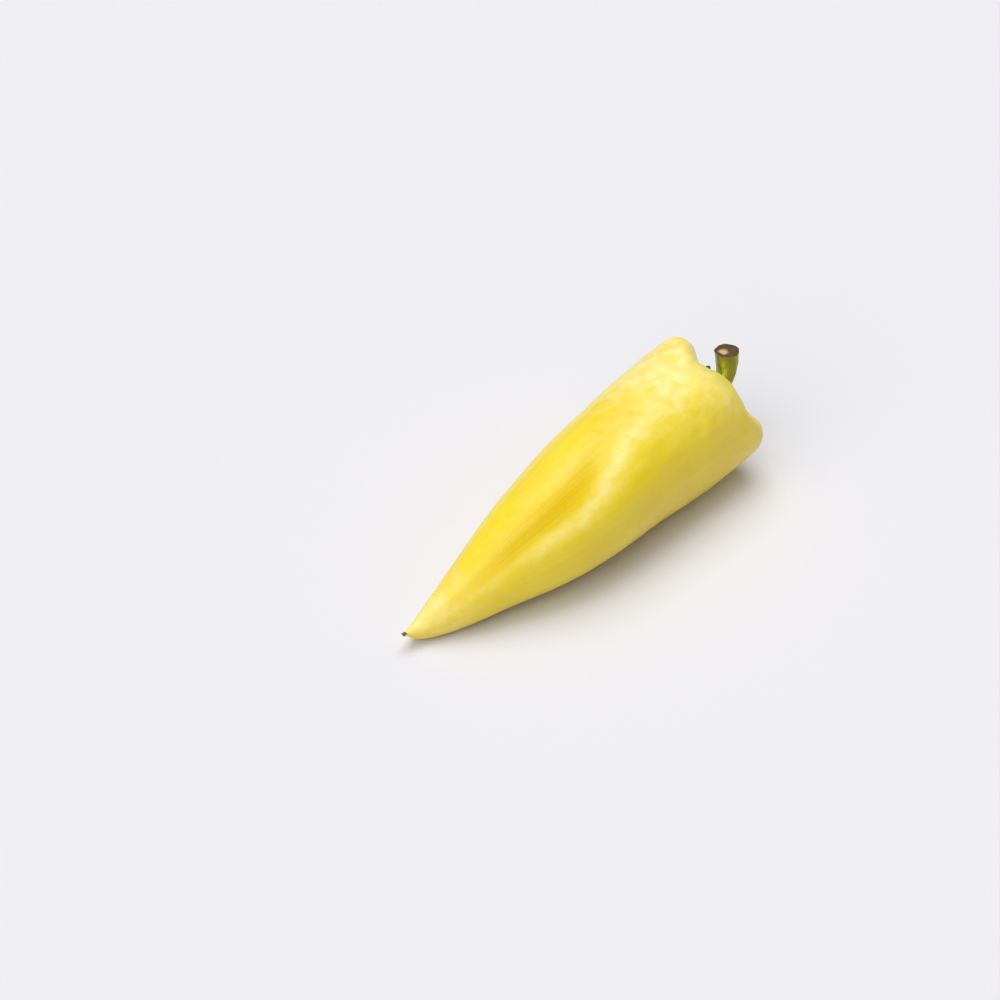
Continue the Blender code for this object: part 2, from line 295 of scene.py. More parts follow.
class Wiring:
    """Adds nodes to a material's or a group's tree in few words."""

    def __init__(self, tree: bpy.types.NodeTree) -> None:
        """Keeps the tree that the nodes go in."""
        self.tree = tree

    def add(self, kind: str, inputs: dict[Any, Any] | None = None, **settings: Any) -> bpy.types.Node:
        """Adds one node.

        Args:
            kind: The node's type, without "ShaderNode".
            inputs: For each input's name or number, a value or the socket to link to it.
            **settings: The node's own settings.

        Returns:
            The new node.
        """
        node = self.tree.nodes.new("ShaderNode" + kind)
        for name, value in settings.items():
            setattr(node, name, value)
        for key, value in (inputs or {}).items():
            if isinstance(value, bpy.types.NodeSocket):
                self.tree.links.new(value, node.inputs[key])
            else:
                node.inputs[key].default_value = value
        return node

    def group(self, tree: bpy.types.NodeTree, **inputs: Any) -> bpy.types.NodeSocket:
        """Places a node group.

        Args:
            tree: The group's tree.
            **inputs: A value or a socket for each input, with underscores for its name's spaces.

        Returns:
            The group's only output.
        """
        node = self.add("Group", node_tree=tree)
        for key, value in inputs.items():
            socket = node.inputs[key.replace("_", " ")]
            if isinstance(value, bpy.types.NodeSocket):
                self.tree.links.new(value, socket)
            else:
                socket.default_value = value
        return node.outputs[0]

    def mix(self, share: Any, start: Any, end: Any, way: str = "MIX") -> bpy.types.NodeSocket:
        """A colour between start and end; 0, 6 and 7 are the colour mix's factor and colours."""
        return self.add("Mix", {0: share, 6: start, 7: end}, data_type="RGBA", blend_type=way).outputs[2]

    def math(self, kind: str, *values: Any) -> bpy.types.NodeSocket:
        """The result of one sum, product or other operation."""
        return self.add("Math", dict(enumerate(values)), operation=kind).outputs[0]

    def tint(self, colour: Any, mask: Any, share: float, towards: Any) -> bpy.types.NodeSocket:
        """Takes a colour a share of the way towards another where its mask is full."""
        return self.mix(self.math("MULTIPLY", mask, share), colour, towards)

    def ramp(self, value: Any, low: Any, high: Any, start: float = 0.0, end: float = 1.0) -> Any:
        """A value that goes softly from start to end as its source goes from low to high."""
        inputs = {"Value": value, "From Min": low, "From Max": high, "To Min": start, "To Max": end}
        return self.add("MapRange", inputs, interpolation_type="SMOOTHSTEP").outputs[0]

    def relief(self, height: Any, strength: float, depth: float) -> bpy.types.NodeSocket:
        """The normal of a fine relief that is depth deep where its height goes from 0 to 1."""
        return self.add("Bump", {"Strength": strength, "Distance": depth, "Height": height}).outputs[0]

    def feed(self, node: bpy.types.Node, sockets: dict[str, bpy.types.NodeSocket]) -> None:
        """Links sockets to the node's inputs of the given names."""
        for name, socket in sockets.items():
            self.tree.links.new(socket, node.inputs[name])

    def mask(self, name: str) -> bpy.types.NodeSocket:
        """One of the mesh's own masks."""
        return self.add("Attribute", attribute_name=name).outputs["Fac"]

    def place(self) -> bpy.types.NodeSocket:
        """Object coordinates, in metres."""
        return self.add("TexCoord").outputs["Object"]

    def flat(self) -> bpy.types.NodeSocket:
        """The piece's own flat map."""
        return self.add("UVMap", uv_map="flat").outputs["UV"]


def group_tree(name: str, inputs: dict[str, tuple[str, Any]], output: str) -> tuple[Wiring, Any, Any]:
    """Starts a shader node group with named sockets.

    Args:
        name: The group's name.
        inputs: For each input, its kind of socket and its usual value.
        output: The name of its only output, a value.

    Returns:
        The wiring of its tree, the node of its inputs and the node of its output.
    """
    tree = bpy.data.node_groups.new(name, "ShaderNodeTree")
    for label, (kind, value) in inputs.items():
        socket = tree.interface.new_socket(label, in_out="INPUT", socket_type=kind)
        if value is not None:
            socket.default_value = value
    tree.interface.new_socket(output, in_out="OUTPUT", socket_type="NodeSocketFloat")
    return Wiring(tree), tree.nodes.new("NodeGroupInput"), tree.nodes.new("NodeGroupOutput")


def mottle_group() -> bpy.types.NodeTree:
    """Soft patches: noise of one size, kept between two levels, as a mask from 0 to 1.

    Returns:
        The group's tree.
    """
    wiring, source, sink = group_tree("mottle", {
        "Place": ("NodeSocketVector", None), "Patch Size": ("NodeSocketFloat", 0.01),
        "Detail": ("NodeSocketFloat", 2.0), "Low": ("NodeSocketFloat", 0.35),
        "High": ("NodeSocketFloat", 0.65)}, "Mask")
    scale = wiring.math("DIVIDE", 1.0, source.outputs["Patch Size"])
    noise = wiring.add("TexNoise", {"Vector": source.outputs["Place"], "Scale": scale,
                                    "Detail": source.outputs["Detail"], "Roughness": 0.55})
    wiring.feed(sink, {"Mask": wiring.ramp(noise.outputs[0], source.outputs["Low"], source.outputs["High"])})
    return wiring.tree


def fibre_group() -> bpy.types.NodeTree:
    """Streaks that run from pole to pole: noise on the flat map, drawn out lengthwise.

    Returns:
        The group's tree.
    """
    wiring, source, sink = group_tree("fibres", {
        "Map": ("NodeSocketVector", None), "Around": ("NodeSocketFloat", 40.0),
        "Lengthwise": ("NodeSocketFloat", 3.0), "Low": ("NodeSocketFloat", 0.35),
        "High": ("NodeSocketFloat", 0.65)}, "Mask")
    parts = wiring.add("SeparateXYZ", {0: source.outputs["Map"]})
    turn = wiring.math("MULTIPLY", parts.outputs[0], TURN)
    reach = wiring.math("DIVIDE", source.outputs["Around"], TURN)
    circle = {"X": wiring.math("MULTIPLY", wiring.math("COSINE", turn), reach),
              "Y": wiring.math("MULTIPLY", wiring.math("SINE", turn), reach),
              "Z": wiring.math("MULTIPLY", parts.outputs[1], source.outputs["Lengthwise"])}
    drawn = wiring.add("CombineXYZ", circle)
    noise = wiring.add("TexNoise", {"Vector": drawn.outputs[0], "Scale": 1.0, "Detail": 3.0,
                                    "Roughness": 0.6})
    wiring.feed(sink, {"Mask": wiring.ramp(noise.outputs[0], source.outputs["Low"], source.outputs["High"])})
    return wiring.tree


@dataclass(frozen=True)
class Effects:
    """The node groups that the finishes share, built once."""

    mottle: bpy.types.NodeTree
    fibres: bpy.types.NodeTree


@dataclass(frozen=True)
class Finish:
    """What every finish has: a name and the numbers of its one shader.

    depth is how far light goes under the surface, and reach is how far each of its colours goes as
    a share of that.
    """

    name: str
    roughness: float = 0.5
    coat: float = 0.0
    coat_roughness: float = 0.1
    subsurface: float = 0.0
    depth: float = 0.003
    sheen: float = 0.0
    specular: float = 0.5
    reach: tuple = (1.0, 0.75, 0.25)

    def start(self) -> tuple[bpy.types.Material, Wiring, bpy.types.Node]:
        """Makes the material and sets the values that are the same all over it.

        Returns:
            The material, its wiring and its shader.
        """
        material = bpy.data.materials.new(self.name)
        material.use_nodes = True
        shader = material.node_tree.nodes["Principled BSDF"]
        values = {"Roughness": self.roughness, "Coat Weight": self.coat,
                  "Coat Roughness": self.coat_roughness, "Subsurface Weight": self.subsurface,
                  "Subsurface Scale": self.depth, "Subsurface Radius": self.reach,
                  "Sheen Weight": self.sheen, "Specular IOR Level": self.specular}
        for label, value in values.items():
            shader.inputs[label].default_value = value
        return material, Wiring(material.node_tree), shader


@dataclass(frozen=True)
class SkinFinish(Finish):
    """Waxy yellow skin: pale on the lobes, partly as painted light, deeper yellow in the furrows as
    painted shade, and green-tinged round the crown, with painted shade on one side of it.

    Each share says how far its effect takes the colour, and the cream's goes from one value to the
    other over the patches.  relief is how deep the fine relief is.
    """

    yellow: tuple = linear(239, 214, 12)
    # A deeper yellow: the clouds' real tone, and the painted shade in the furrows.
    deep: tuple = linear(232, 193, 4)
    cream: tuple = linear(248, 233, 162)
    green: tuple = linear(204, 200, 70)
    pore: tuple = linear(250, 238, 140)
    cloud_share: float = 0.35
    # How far the painted shade in the furrows takes the colour towards the deeper yellow.
    furrow_shade_share: float = 0.70
    cream_shares: tuple = (0.42, 0.92)
    streak_share: float = 0.12
    crown_share: float = 0.75
    pore_share: float = 0.10
    relief: float = 0.0006

    def make(self, effects: Effects) -> bpy.types.Material:
        """Builds the material.

        Args:
            effects: The shared node groups.

        Returns:
            The material.
        """
        material, wiring, shader = self.start()
        place, flat = wiring.place(), wiring.flat()
        mottle = partial(wiring.group, effects.mottle, Place=place)
        clouds = mottle(Patch_Size=0.030, Detail=2.0, Low=0.38, High=0.64)
        patches = mottle(Patch_Size=0.0050, Detail=2.5, Low=0.32, High=0.70)
        streaks = wiring.group(effects.fibres, Map=flat, Around=70.0, Lengthwise=4.0, Low=0.40, High=0.72)
        pores = mottle(Patch_Size=0.0009, Detail=1.0, Low=0.66, High=0.74)
        lobe, valley, crown = wiring.mask("lobe"), wiring.mask("valley"), wiring.mask("crown")
        colour = wiring.tint(self.yellow, clouds, self.cloud_share, self.deep)
        # Painted shade: the furrows' mask takes the colour towards the deeper yellow.
        colour = wiring.tint(colour, valley, self.furrow_shade_share, self.deep)
        # Pale skin and painted light: the lobes' mask holds painted highlights and the lit side, broken up by
        # the patches.
        pale = wiring.math("MULTIPLY", lobe, wiring.ramp(patches, 0.0, 1.0, *self.cream_shares))
        colour = wiring.mix(pale, colour, self.cream)
        colour = wiring.tint(colour, streaks, self.streak_share, self.cream)
        # Real green round the crown, with painted shade on its shaded side.
        colour = wiring.tint(colour, crown, self.crown_share, self.green)
        colour = wiring.tint(colour, pores, self.pore_share, self.pore)
        rough = wiring.ramp(patches, 0.0, 1.0, self.roughness - 0.05, self.roughness + 0.07)
        rough = wiring.math("ADD", rough, wiring.math("MULTIPLY", valley, 0.06))
        fine = wiring.add("TexNoise", {"Vector": place, "Scale": 900.0, "Detail": 2.0})
        broad = wiring.add("TexNoise", {"Vector": place, "Scale": 150.0, "Detail": 2.0})
        height = wiring.math("ADD", wiring.math("MULTIPLY", fine.outputs[0], 0.12), broad.outputs[0])
        wiring.feed(shader, {"Base Color": colour, "Roughness": rough,
                             "Normal": wiring.relief(height, 0.35, self.relief)})
        return material


@dataclass(frozen=True)
class GreenFinish(Finish):
    """Green, ribbed plant tissue: lighter on its ridges, darker between, with fine fibres.

    A cut face goes from its rim's colour to its pith's.  around and lengthwise say how many fibres
    go round and how often they break off.  The shares say how far patches and specks take the
    colour, and relief is how deep the fine relief is.
    """

    light: tuple = linear(166, 172, 52)
    dark: tuple = linear(98, 104, 16)
    dry: tuple = linear(112, 84, 30)
    pith: tuple = linear(206, 178, 118)
    rim: tuple = linear(70, 52, 16)
    around: float = 60.0
    lengthwise: float = 5.0
    patch_share: float = 0.30
    speck_share: float = 0.25
    relief: float = 0.0002

    def make(self, effects: Effects) -> bpy.types.Material:
        """Builds the material.

        Args:
            effects: The shared node groups.

        Returns:
            The material.
        """
        material, wiring, shader = self.start()
        place, flat = wiring.place(), wiring.flat()
        mottle = partial(wiring.group, effects.mottle, Place=place)
        patches = mottle(Patch_Size=0.0045, Detail=4.0, Low=0.36, High=0.68)
        streaks = wiring.group(effects.fibres, Map=flat, Around=self.around, Lengthwise=self.lengthwise,
                               Low=0.36, High=0.66)
        specks = mottle(Patch_Size=0.0006, Detail=2.0, Low=0.60, High=0.72)
        ridge, dry = wiring.mask("ridge"), wiring.mask("dry")
        cut, pith = wiring.mask("cut"), wiring.mask("pith")
        light = wiring.math("MULTIPLY", wiring.ramp(ridge, 0.1, 0.9, 0.25, 1.0),
                            wiring.ramp(streaks, 0.0, 1.0, 0.55, 1.0))
        colour = wiring.mix(light, self.dark, self.light)
        colour = wiring.tint(colour, patches, self.patch_share, self.dark)
        withered = wiring.math("MULTIPLY", dry, wiring.ramp(patches, 0.0, 1.0, 0.45, 1.0))
        colour = wiring.mix(withered, colour, self.dry)
        colour = wiring.tint(colour, specks, self.speck_share, self.dry)
        face = wiring.mix(wiring.math("MULTIPLY", pith, wiring.ramp(specks, 0.0, 1.0, 1.0, 0.6)),
                          self.rim, self.pith)
        colour = wiring.mix(cut, colour, face)
        rough = wiring.ramp(patches, 0.0, 1.0, self.roughness - 0.08, self.roughness + 0.10)
        rough = wiring.math("ADD", rough, wiring.math("MULTIPLY", cut, 0.25))
        grain = wiring.add("TexNoise", {"Vector": place, "Scale": 2200.0, "Detail": 3.0})
        height = wiring.math("ADD", streaks, wiring.math("MULTIPLY", grain.outputs[0], 0.5))
        wiring.feed(shader, {"Base Color": colour, "Roughness": rough,
                             "Normal": wiring.relief(height, 0.5, self.relief)})
        return material


# ---- The fruit ---------------------------------------------------------------------------------


@dataclass(frozen=True)
class Furrow:
    """A valley between two lobes, which goes from one angle at the crown to another at the tip.

    notch is how far it lets the crown's edge down.  depths are pairs: a share of the length, and
    the part of the radius that it takes off there.  Less than nothing makes it a swelling.
    """

    crown_angle: float
    tip_angle: float
    width: float
    notch: float
    depths: tuple


@dataclass(frozen=True)
class Zone:
    """A zone of the skin round one angle, which fades to both sides."""

    angle: float
    width: float
    strength: float = 1.0

    def at(self, angle: np.ndarray, start: Any = 0.0) -> np.ndarray:
        """strength x exp(-(angle from start + the zone's angle / width)^2)."""
        return self.strength * bell(angle, start + np.radians(self.angle), self.width)


@dataclass(frozen=True)
class Lie:
    """How the grown pepper is laid down: tipped about Y by an angle in radians, and moved."""

    tip: float
    shift: tuple[float, float, float] = (0.0, 0.0, 0.0)

    def laid(self, points: np.ndarray) -> np.ndarray:
        """x' = x cos - z sin and z' = x sin + z cos, and then the shift.

        Args:
            points: Points of the grown pepper.

        Returns:
            The same points as they lie.
        """
        c, s = np.cos(self.tip), np.sin(self.tip)
        turn = np.array([[c, 0, -s], [0, 1, 0], [s, 0, c]])
        return points @ turn.T + np.array(self.shift)


@dataclass
class Fruit:
    """The fleshy pod, grown as one piece, with its lobes, its hollow crown and its tapered tip.

    shoulder, tip and floor are radii: the widest one, one near the tip and the hollow's.  depth is
    the hollow's, and crown is the width from its floor to the crown's crest.  hollow, brow, flank
    and end are the outline, as pairs of a place along the axis and a radius, each a share of these
    sizes.  The crown's edge stands lower by slant on its low side and by saddle on two sides.
    bend gives the axis: a share of the length, and how far the axis lies off along Y and Z there.
    The furrows swing over between the two shares of swing.  The dimples go down to dimple_least of
    their height over dimple_fade, and puckers counts the folds round the hollow's wall.

    The other fields paint the skin, and some of it is painted light and shade.  Each Zone is a part
    of it: sunny is painted light on the lit side, beside and the brow zone are painted highlights,
    and shaded is painted shade.  beside is counted from the first furrow's middle, and each pair
    that ends in start or fade is where along the length a zone comes or goes.  A furrow's shade is
    painted shade: it is turned by shade_turn, shade_width as wide as the furrow, full where the
    furrow is shade_full deep, and shade_least as strong at the shoulder.
    """

    length: float = 0.159
    shoulder: float = 0.0258
    tip: float = 0.0056
    floor: float = 0.0129
    depth: float = 0.0068
    crown: float = 0.0070
    slant: float = 0.0034
    saddle: float = 0.0036
    low_side: float = 130.0
    tilt: float = 8.499
    hollow: tuple = ((1, 0), (1, 0.5), (0.97, 0.85), (0.72, 1))
    brow: tuple = ((0.25, 0.22), (-0.16, 0.5), (-0.25, 1))
    flank: tuple = ((0.014, 0.975), (0.057, 0.995), (0.127, 1.005), (0.228, 0.990), (0.342, 0.920),
                    (0.456, 0.880), (0.570, 0.785), (0.671, 0.680), (0.772, 0.495), (0.861, 0.350))
    end: tuple = ((0.930, 1.0), (0.978, 0.42), (0.998, 0.08), (1.0, 0.0))
    bend: tuple = ((0.0, 0.0, 0.0), (0.19, -0.0012, 0.0003), (0.38, -0.0054, 0.0070),
                   (0.57, -0.0084, 0.0090), (0.73, -0.0058, 0.0070), (0.855, -0.0040, 0.0040),
                   (0.930, -0.0010, 0.0008), (0.975, 0.0004, 0.0006), (1.0, 0.0, 0.0044))
    swing: tuple = (0.32, 0.64)
    furrows: tuple = (
        Furrow(99, 128, 20, 0.0036, ((0, 0.075), (0.13, 0.035), (0.30, 0.035), (0.48, 0.08),
                                     (0.60, 0.11), (0.72, 0.11), (0.86, 0.03), (1, 0))),
        Furrow(168, 184, 20, 0.0010, ((0, 0.03), (0.16, 0.02), (0.44, 0.015), (0.7, 0), (1, 0))),
        Furrow(270, 264, 18, 0.0026, ((0, 0.13), (0.19, 0.14), (0.44, 0.12), (0.7, 0.09), (0.86, 0.03),
                                      (1, 0))),
        Furrow(345, 338, 22, 0.0024, ((0, 0.08), (0.16, 0.05), (0.44, 0.06), (0.7, 0.03), (1, 0))),
        Furrow(38, 45, 20, 0.0020, ((0, 0.06), (0.14, 0.02), (0.38, 0), (1, 0))))
    swellings: tuple = (
        Furrow(55, 55, 25, -0.0025, ((0, -0.07), (0.13, -0.005), (0.3, 0), (1, 0))),
        Furrow(204, 204, 30, -0.0045, ((0, -0.055), (0.13, 0.01), (0.3, 0), (1, 0))))
    around: int = 360
    rings: int = 248
    waves: Unevenness = Unevenness(0.14 * MM, 0.025, 0.060, stretch=1.5, seed=4)
    dimples: Unevenness = Unevenness(0.068 * MM, 0.0042, 0.0095, stretch=1.25, seed=9, waves=90)
    dimple_least: float = 0.35
    dimple_fade: tuple = (0.25, 0.62)
    puckers: int = 21
    pucker: float = 0.07 * MM
    # Painted light: sunny is the lit side, beside and the brow zone are painted highlights, and shaded is
    # painted shade.
    sunny: Zone = Zone(84.0, 37.0)
    shaded: Zone = Zone(116.0, 24.0, 0.85)
    beside: Zone = Zone(13.0, 11.0, 0.75)
    brow_highlight: Zone = Zone(142.0, 22.0, 0.45)
    pale_tip: float = 0.8
    pale_everywhere: float = 0.10
    shoulder_fade: tuple = (0.16, 0.42)
    shaded_fade: tuple = (0.03, 0.11)
    beside_start: tuple = (0.20, 0.42)
    beside_fade: tuple = (0.62, 0.80)
    tip_start: tuple = (0.78, 0.95)
    brow_share: float = 0.08
    brow_reach: float = 0.05
    shade_turn: float = 9.0
    shade_width: float = 0.8
    shade_least: float = 0.20
    shade_full: float = 0.09

    def __post_init__(self) -> None:
        """Works out the outline's points, its crest and how the pepper lies in the frame."""
        hollow = [(share * self.depth, radius * self.floor) for share, radius in self.hollow]
        brow = [(share * self.depth, self.floor + width * self.crown) for share, width in self.brow]
        flank = [(share * self.length, radius * self.shoulder) for share, radius in self.flank]
        end = [(share * self.length, radius * self.tip) for share, radius in self.end]
        self.outline = np.array(hollow + brow + flank + end)
        self.places = np.linspace(0, 1, 2000)
        self.curve = spline(self.outline, self.places)
        self.crest = self.places[np.argmin(self.curve[:, 0])]
        self.lie = self._lie()

    def _lie(self) -> Lie:
        """Tips the skin and moves it until its middle, its high side and its stem end meet the frame's.

        Returns:
            How the pepper lies.
        """
        lie = Lie(np.radians(self.tilt))
        where, angle = self.grid()
        skin = lie.laid(self.skin(where, angle)).reshape(-1, 3)
        low, high = (np.array(corner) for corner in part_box("fruit"))
        shift = high - skin.max(axis=0)
        shift[1] = (high[1] + low[1] - skin[:, 1].max() - skin[:, 1].min()) / 2
        return Lie(lie.tip, tuple(shift))

    def grid(self) -> tuple[np.ndarray, np.ndarray]:
        """Places and angles of the rings, which stand closer where the outline turns more.

        Returns:
            The places as a column and the angles as a row.
        """
        steps = np.hypot(*np.diff(self.curve, axis=0).T)
        length = np.concatenate([[0], np.cumsum(steps)]) / steps.sum()
        where = np.interp(np.linspace(0, 1, self.rings + 1), 0.6 * length + 0.4 * self.places, self.places)
        angle = np.linspace(0, TURN, self.around, endpoint=False)
        return where[:, None], angle[None, :]

    def valleys(self, share: np.ndarray, angle: np.ndarray) -> tuple[np.ndarray, np.ndarray, np.ndarray]:
        """What the furrows do at a place: each is exp(-(angle from its middle / width)^2) across.

        The mask is painted shade: it shows where they look deep and dark, which is narrower and turned
        a little towards the wall that faces away from the light.

        Args:
            share: Share of the length from the crown.
            angle: Angle round the axis.

        Returns:
            The share that they take off the radius, their mask and how far they let the crown down.
        """
        cut, mask, drop = (np.zeros(np.broadcast(share, angle).shape) for _ in range(3))
        fade = self.shade_least + (1 - self.shade_least) * smooth(share, *self.shoulder_fade)
        for furrow in self.furrows + self.swellings:
            middle = self.middle(furrow, share)
            valley = bell(angle, middle, furrow.width)
            depth = along(furrow.depths, share)[0]
            cut = cut + depth * valley
            # Painted shade: the mask is turned towards the furrow wall that faces away from the light.
            shade = bell(angle, middle - np.radians(self.shade_turn), self.shade_width * furrow.width)
            mask = np.maximum(mask, np.clip(depth / self.shade_full, 0, 1) * shade * fade)
            drop = drop + furrow.notch * valley
        return cut, mask, drop

    def middle(self, furrow: Furrow, share: np.ndarray) -> np.ndarray:
        """The angle of a furrow's middle: it swings from its angle at the crown to the one at the tip."""
        swung = smooth(share, *self.swing)
        return np.radians(furrow.crown_angle + (furrow.tip_angle - furrow.crown_angle) * swung)

    def skin(self, where: np.ndarray, angle: np.ndarray) -> np.ndarray:
        """Points of the smooth skin of the grown pepper.

        The outline is turned round the bent axis.  The crown drops by a slant and a saddle round
        it and at each furrow, and the furrows take their share off the radius.

        Args:
            where: Places along the outline.
            angle: Angles round the axis.

        Returns:
            A point for each pair of them.
        """
        station, radius = np.moveaxis(spline(self.outline, where), -1, 0)
        share = np.clip(station / self.length, 0, 1)
        cut, _, notch = self.valleys(share, angle)
        low = angle - np.radians(self.low_side)
        drop = (self.slant * (1 + np.cos(low)) + self.saddle * (1 + np.cos(2 * low))) / 2 + notch
        crown = smooth(where, 0.35 * self.crest, self.crest)
        crown = crown * (1 - smooth(where, self.crest, self.crest + 0.22))
        radius = radius * (1 - cut * smooth(where, 0.4 * self.crest, self.crest))
        side, rise = along(self.bend, share)
        return np.stack(np.broadcast_arrays(-station - drop * crown, side + radius * np.cos(angle),
                                            rise + radius * np.sin(angle)), -1)

    def normal(self, where: np.ndarray, angle: np.ndarray) -> np.ndarray:
        """The smooth skin's outward direction: the cross product of its slopes, as unit vectors.

        Args:
            where: Places along the outline.
            angle: Angles round the axis.

        Returns:
            A direction for each pair of them.
        """
        step = 0.002
        where = np.maximum(where, 2 * step)
        down = self.skin(where + step, angle) - self.skin(where - step, angle)
        around = self.skin(where, angle + step) - self.skin(where, angle - step)
        cross = np.cross(down, around)
        return cross / np.linalg.norm(cross, axis=-1, keepdims=True)

    def surface(self) -> Rings:
        """The whole skin as it lies, with its swells, dimples and puckers, pressed flat below.

        Returns:
            Its rings, with masks for its valleys' painted shade, its lobes' paleness and painted light,
            and its crown's green tinge and painted shade.
        """
        where, angle = self.grid()
        body = Rings(self.skin(where, angle))
        station = spline(self.outline, where)[..., 0]
        share = np.clip(station / self.length, 0, 1)
        _, valley, _ = self.valleys(share, angle)
        flank = smooth(where, 0.55 * self.crest, self.crest + 0.05) * (1 - smooth(share, 0.93, 1.0))
        dimpled = self.dimple_least + (1 - self.dimple_least) * (1 - smooth(share, *self.dimple_fade))
        rise = (self.waves.at(body.points) + self.dimples.at(body.points) * dimpled) * flank
        wall = smooth(where, 0.45 * self.crest, 0.75 * self.crest)
        wall = wall * (1 - smooth(where, self.crest, self.crest + 0.06))
        pucker = np.cos(self.puckers * angle + 2.0 * np.sin(3 * angle)) * wall
        points = body.points + body.normals() * (rise + self.pucker * pucker)[..., None]
        points[[0, -1]] = points[[0, -1]].mean(axis=1, keepdims=True)
        laid = self.lie.laid(points)
        laid[..., 2] = np.maximum(laid[..., 2], 0)
        crown = 1 - smooth(where, 0.55 * self.crest, self.crest + 0.035)
        # Painted shade: a green tint on the shaded side just below the crown, beside the hollow's real green.
        crown = np.maximum(crown, self.shaded.at(angle) * (1 - smooth(share, *self.shaded_fade)))
        lobe = (1 - valley) ** 2 * smooth(where, self.crest - 0.04, self.crest + 0.05)
        # The lobes' mask carries the paleness together with the painted light.
        return Rings(laid, {"valley": valley, "lobe": lobe * self.paleness_and_painted_light(share, angle), "crown": crown},
                     1 - where[:, 0])

    def paleness_and_painted_light(self, share: np.ndarray, angle: np.ndarray) -> np.ndarray:
        """How pale the skin is, with painted light in it: on its lit side near the shoulder, as a painted
        highlight beside a furrow, and at the tip, which is lighter still on the lit side.

        It is the sum of those zones and of a painted highlight on the brow, each times how far it has
        faded.

        Args:
            share: Share of the length from the crown.
            angle: Angle round the axis.

        Returns:
            The paleness and painted light at each pair of them, 0 to 1.
        """
        # Painted light on the lit side near the shoulder.
        sunny = self.sunny.at(angle)
        shoulder = sunny * (1 - smooth(share, *self.shoulder_fade))
        # Painted highlight along the first furrow's lit wall.
        beside = self.beside.at(angle, self.middle(self.furrows[0], share))
        beside = beside * smooth(share, *self.beside_start) * (1 - 0.75 * smooth(share, *self.beside_fade))
        # The tip is paler, and lighter still on the lit side as painted light.
        tip = self.pale_tip * smooth(share, *self.tip_start) * (0.45 + 0.55 * sunny)
        # Painted highlight on the brow.
        brow = self.brow_highlight.at(angle) * np.exp(-((share - self.brow_share) / self.brow_reach) ** 2)
        return np.clip(self.pale_everywhere + shoulder + beside + tip + brow, 0, 1)

    def build(self, finish: SkinFinish, effects: Effects) -> bpy.types.Object:
        """Makes the fruit and dresses it."""
        return piece(self.surface().mesh("pepper_fruit"), finish.make(effects), "fruit")


# ---- The calyx, the stem and the style ---------------------------------------------------------


@dataclass
class Calyx:
    """The green cap in the crown's hollow: five corners, ribs, a thin margin and a hub.

    corner is how far a corner reaches past the radius, edge is the cap's thickness, hub is how high
    its middle swells within the radius foot, rib is the ribs' height and sunk is how far the cap is
    pressed into the hollow's floor.  curls are pairs: the angle of a corner, and how far its margin
    curls up.  The widths and turns are angles: each bump's, and the lesser ribs' places.
    """

    fruit: Fruit
    radius: float = 0.0105
    corner: float = 0.0014
    edge: float = 0.0009
    hub: float = 0.0033
    foot: float = 0.0045
    rib: float = 0.00042
    sunk: float = 0.15 * MM
    corner_width: float = 15.0
    rib_width: float = 7.0
    lesser_width: float = 5.0
    lesser_turns: tuple = (24, 48)
    curl_width: float = 17.0
    curls: tuple = ((81, 7.3 * MM), (168, 1.2 * MM), (270, 1.8 * MM), (345, 0.9 * MM), (38, 2.0 * MM))
    around: int = 300
    rings: int = 110
    margin: Unevenness = Unevenness(0.16 * MM, 0.002, 0.006, seed=21)
    crumple: Unevenness = Unevenness(0.07 * MM, 0.0015, 0.005, seed=22)

    def surface(self) -> Rings:
        """The cap from the middle of its top, round its margin, to the middle of its underside.

        It follows the hollow's floor.  Its thickness rounds off at the margin as a root of the
        cosine, a rib runs to each corner with two lesser ones between, the hub swells to the stem,
        and the margin curls up at each corner by a step to the power 1.5.

        Returns:
            Its rings, with a mask for its ridges and one for its dry margin.
        """
        slope = np.linspace(0, np.pi, self.rings + 1)[:, None]
        angle = np.linspace(0, TURN, self.around, endpoint=False)[None, :]
        middles = [np.radians(furrow.crown_angle) for furrow in self.fruit.furrows]
        corners = sum(bell(angle, middle, self.corner_width) for middle in middles)
        rim = np.stack([np.cos(angle), np.sin(angle), 0 * angle], -1) * self.radius
        reach = (self.radius + self.corner * corners + self.margin.at(rim)) * np.sin(slope)
        hollow = self.fruit.places[self.fruit.places < 0.8 * self.fruit.crest]
        where = np.interp(reach, spline(self.fruit.outline, hollow)[:, 1], hollow)
        upper = np.clip(np.cos(slope), 0, 1)
        top = (upper > 0).astype(float)
        share = np.sin(slope)
        main = sum(bell(angle, middle, self.rib_width) for middle in middles)
        lesser = sum(bell(angle, middle + np.radians(turn), self.lesser_width)
                     for middle in middles for turn in self.lesser_turns)
        ridge = main + 0.5 * lesser
        window = smooth(share, 0.25, 0.5) * (1 - smooth(share, 0.80, 0.99))
        base = self.fruit.skin(where, angle)
        ribbed = self.rib * ridge * window + self.crumple.at(base) * smooth(share, 0.2, 0.5)
        height = -self.sunk + self.edge * upper ** 0.5 + ribbed * top
        hub = self.hub * (1 - smooth(reach, 0.75 * self.foot, 2.1 * self.foot)) * top
        curl = sum(rise * bell(angle, np.radians(middle), self.curl_width) for middle, rise in self.curls)
        swell = hub + curl * smooth(share, 0.66, 1.0) ** 1.5
        points = base + self.fruit.normal(where, angle) * height[..., None] + swell[..., None] * [1, 0, 0]
        points[[0, -1]] = points[[0, -1]].mean(axis=1, keepdims=True)
        masks = {"ridge": np.clip(ridge * window + 0.6 * (1 - smooth(share, 0.3, 0.55)), 0, 1),
                 "dry": smooth(share, 0.93, 1.0) * 0.6 + 0 * angle}
        return Rings(self.fruit.lie.laid(points), masks)

    def build(self, finish: GreenFinish, effects: Effects) -> bpy.types.Object:
        """Makes the calyx and dresses it."""
        return piece(self.surface().mesh("pepper_calyx"), finish.make(effects), "calyx")


